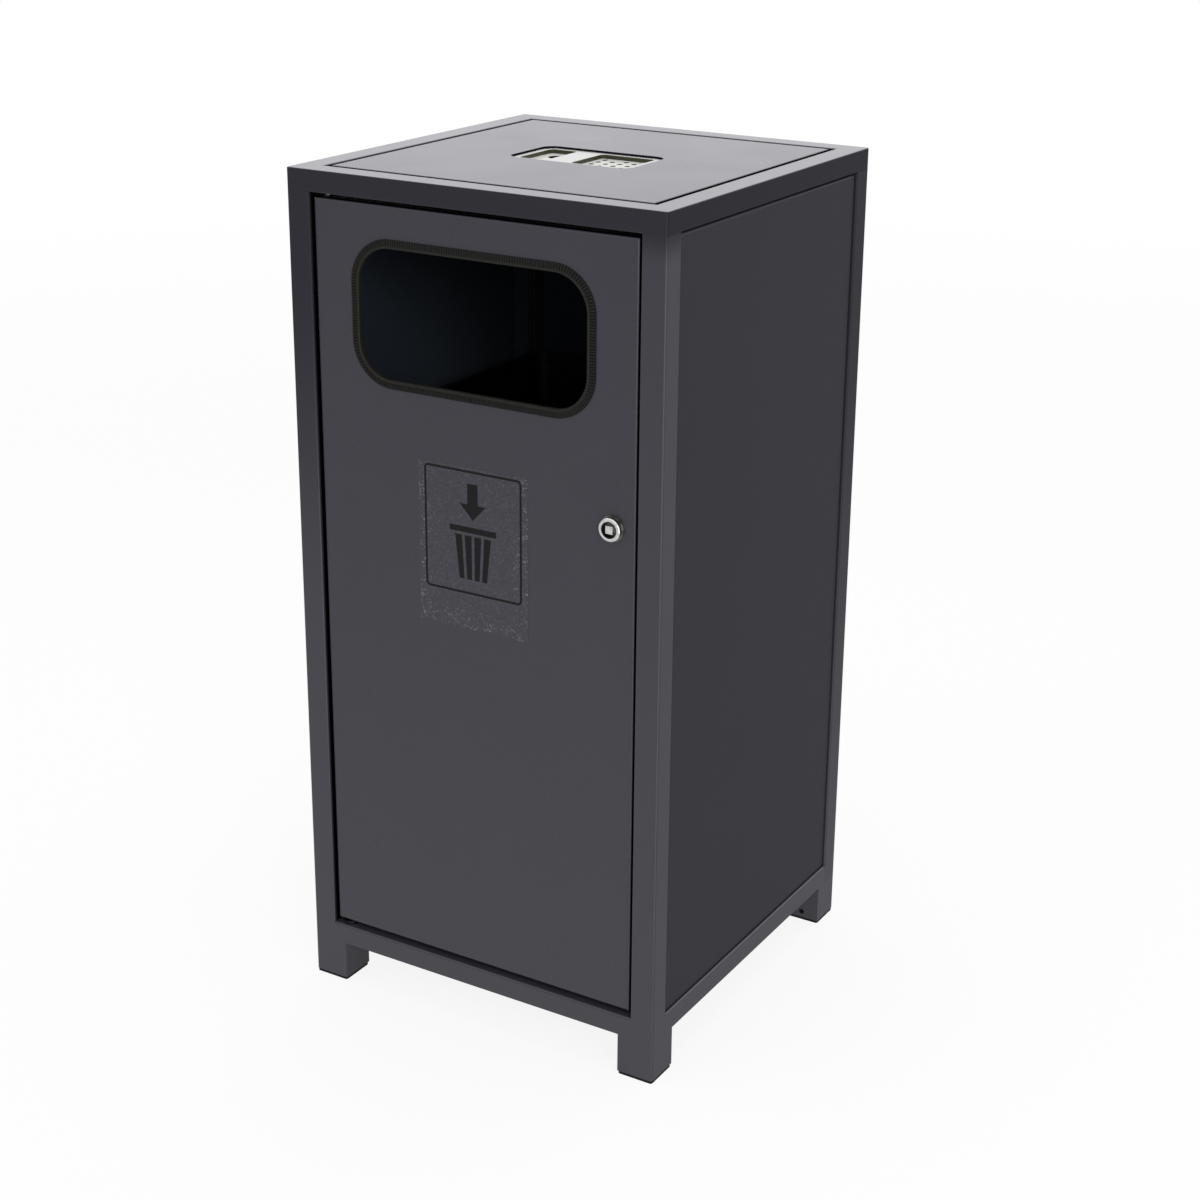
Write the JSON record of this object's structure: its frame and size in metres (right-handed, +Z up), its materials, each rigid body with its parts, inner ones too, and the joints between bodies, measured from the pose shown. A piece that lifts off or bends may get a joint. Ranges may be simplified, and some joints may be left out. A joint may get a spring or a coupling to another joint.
{
  "type": "litter bin",
  "caption": "Square free-standing litter bin: tube frame on feet, hinged lockable front door with a throw-in opening, lift-out liner and an ashtray let into the top.",
  "frame": {"origin": "on the floor at the middle of the bin's footprint", "axes": "+Z up, the door faces -Y, +X to the right seen from the door"},
  "size_m": [0.42, 0.424, 0.877],
  "materials": {
    "anthracite_paint": "satin powder coat",
    "black_plastic": "matt",
    "black_rubber": "matt",
    "zinc_steel": "zinc plated",
    "label_film": "satin film",
    "chrome_plate": "polished",
    "galvanised_sheet": "hot-dip galvanised",
    "stainless_sheet": "bright"
  },
  "bodies": {
    "cabinet": {"post_front_left": "anthracite_paint", "post_front_right": "anthracite_paint", "post_rear_left": "anthracite_paint", "post_rear_right": "anthracite_paint", "foot_front_left": "anthracite_paint", "foot_front_right": "anthracite_paint", "foot_rear_left": "anthracite_paint", "foot_rear_right": "anthracite_paint", "top_rail_front": "anthracite_paint", "top_rail_right": "anthracite_paint", "top_rail_rear": "anthracite_paint", "top_rail_left": "anthracite_paint", "bottom_rail_front": "anthracite_paint", "bottom_rail_right": "anthracite_paint", "bottom_rail_rear": "anthracite_paint", "bottom_rail_left": "anthracite_paint", "right_panel": "anthracite_paint", "rear_panel": "anthracite_paint", "left_panel": "anthracite_paint", "top_panel": "anthracite_paint", "floor_panel": "anthracite_paint", "strike_bar": "anthracite_paint", "ashtray_carrier": "anthracite_paint", "foot_cap_front_left": "black_plastic", "foot_cap_front_right": "black_plastic", "foot_cap_rear_left": "black_plastic", "foot_cap_rear_right": "black_plastic", "right_panel_rivets": "zinc_steel", "rear_panel_rivets": "zinc_steel", "left_panel_rivets": "zinc_steel", "top_panel_rivets": "zinc_steel", "hinge_washer": "zinc_steel", "upper_hinge_pin": "zinc_steel", "lower_hinge_pin": "zinc_steel", "door_buffers": "black_rubber"},
    "door": {"door_skin": "anthracite_paint", "opening_trim": "black_rubber", "door_label": "label_film", "upper_hinge_bush": "black_plastic", "lower_hinge_bush": "black_plastic", "lock_housing": "chrome_plate", "lock_nut": "zinc_steel"},
    "lock_core": {"lock_plug": "chrome_plate", "lock_cam": "zinc_steel", "cam_screw": "zinc_steel"},
    "liner": {"liner_bucket": "galvanised_sheet", "bail_ears": "zinc_steel", "ear_rivets": "zinc_steel"},
    "bail": {"bail_handle": "zinc_steel"},
    "ash_drawer": {"ash_box": "stainless_sheet"},
    "ash_plate": {"ashtray_insert": "stainless_sheet"}
  },
  "joints": [
    {"name": "door_swing", "type": "hinge", "parent": "cabinet", "child": "door", "pos_m": [-0.169, -0.1985, 0.46], "axis": [0, 0, -1], "range_deg": [0, 110]},
    {"name": "lock_turn", "type": "hinge", "parent": "door", "child": "lock_core", "pos_m": [0.156, -0.2, 0.577], "axis": [0, -1, 0], "range_deg": [0, 90]},
    {"name": "liner_lift", "type": "slide", "parent": "cabinet", "child": "liner", "axis": [0, 0, 1], "range_m": [0, 0.025]},
    {"name": "bail_swing", "type": "hinge", "parent": "liner", "child": "bail", "pos_m": [0, 0, 0.599], "axis": [1, 0, 0], "range_deg": [0, 106]},
    {"name": "ash_box_lift", "type": "slide", "parent": "cabinet", "child": "ash_drawer", "axis": [0, 0, 1], "range_m": [0, 0.055]},
    {"name": "ash_plate_lift", "type": "slide", "parent": "ash_drawer", "child": "ash_plate", "axis": [0, 0, 1], "range_m": [0, 0.03]}
  ]
}
